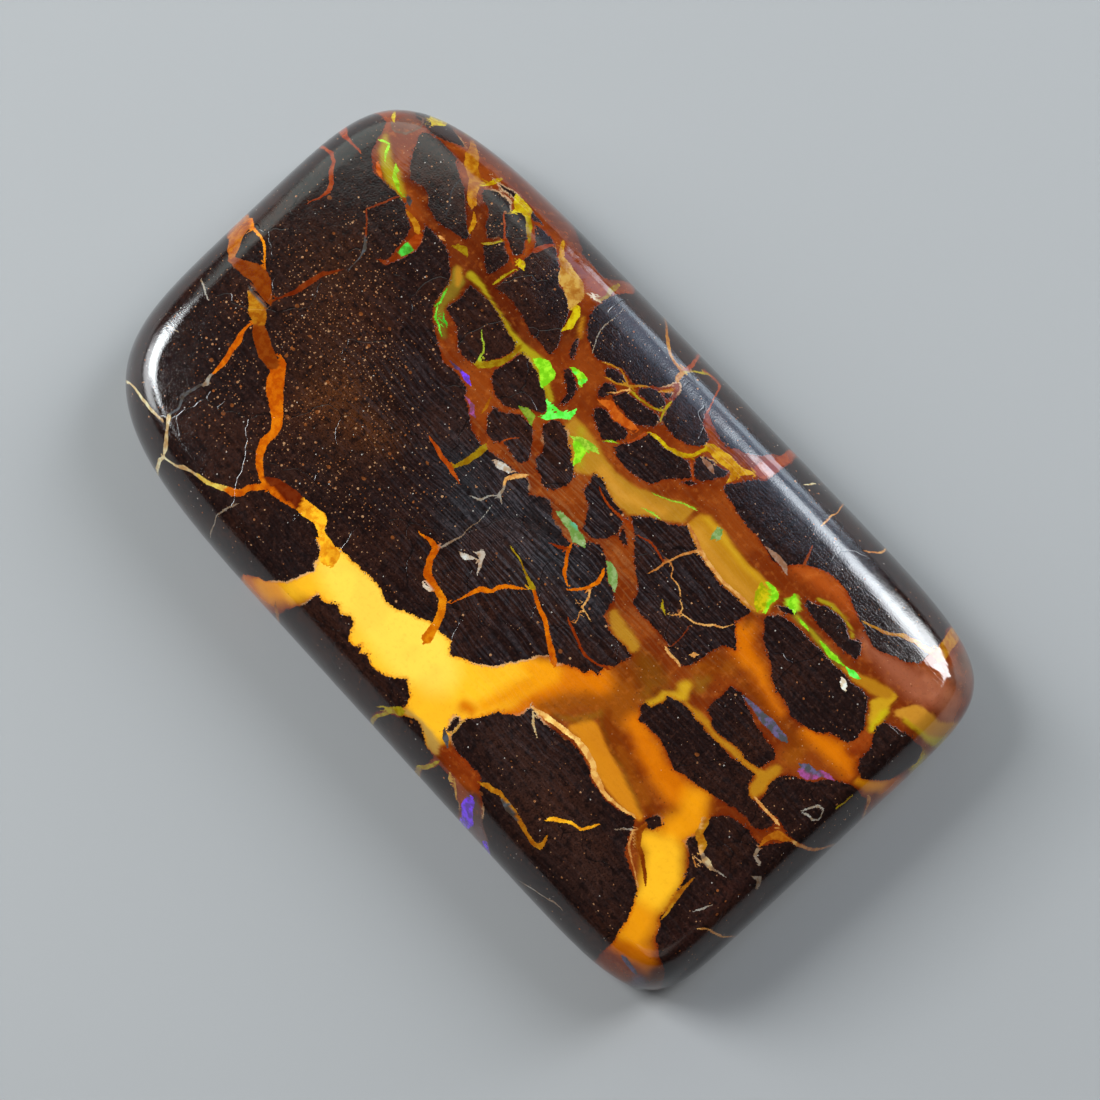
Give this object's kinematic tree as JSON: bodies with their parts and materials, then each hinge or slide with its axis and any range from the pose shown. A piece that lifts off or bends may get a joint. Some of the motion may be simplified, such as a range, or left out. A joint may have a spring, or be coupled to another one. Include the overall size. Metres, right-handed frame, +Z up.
{
  "type": "boulder opal cabochon",
  "caption": "Polished rectangular cabochon of dark ironstone with opal in its cracks: low domed face, rounded shoulders and corners, flat back.",
  "frame": {"origin": "middle of the flat back, on the surface that the stone lies on", "axes": "+Z up through the polished face, +X along the stone, +Y across it"},
  "size_m": [0.0364, 0.0206, 0.0054],
  "materials": {
    "boulder_opal": "polished opaque stone: dark brown ironstone with amber, orange, yellow and green opal in its cracks"
  },
  "bodies": {
    "root": {"boulder_opal_cabochon": "boulder_opal"}
  },
  "joints": []
}
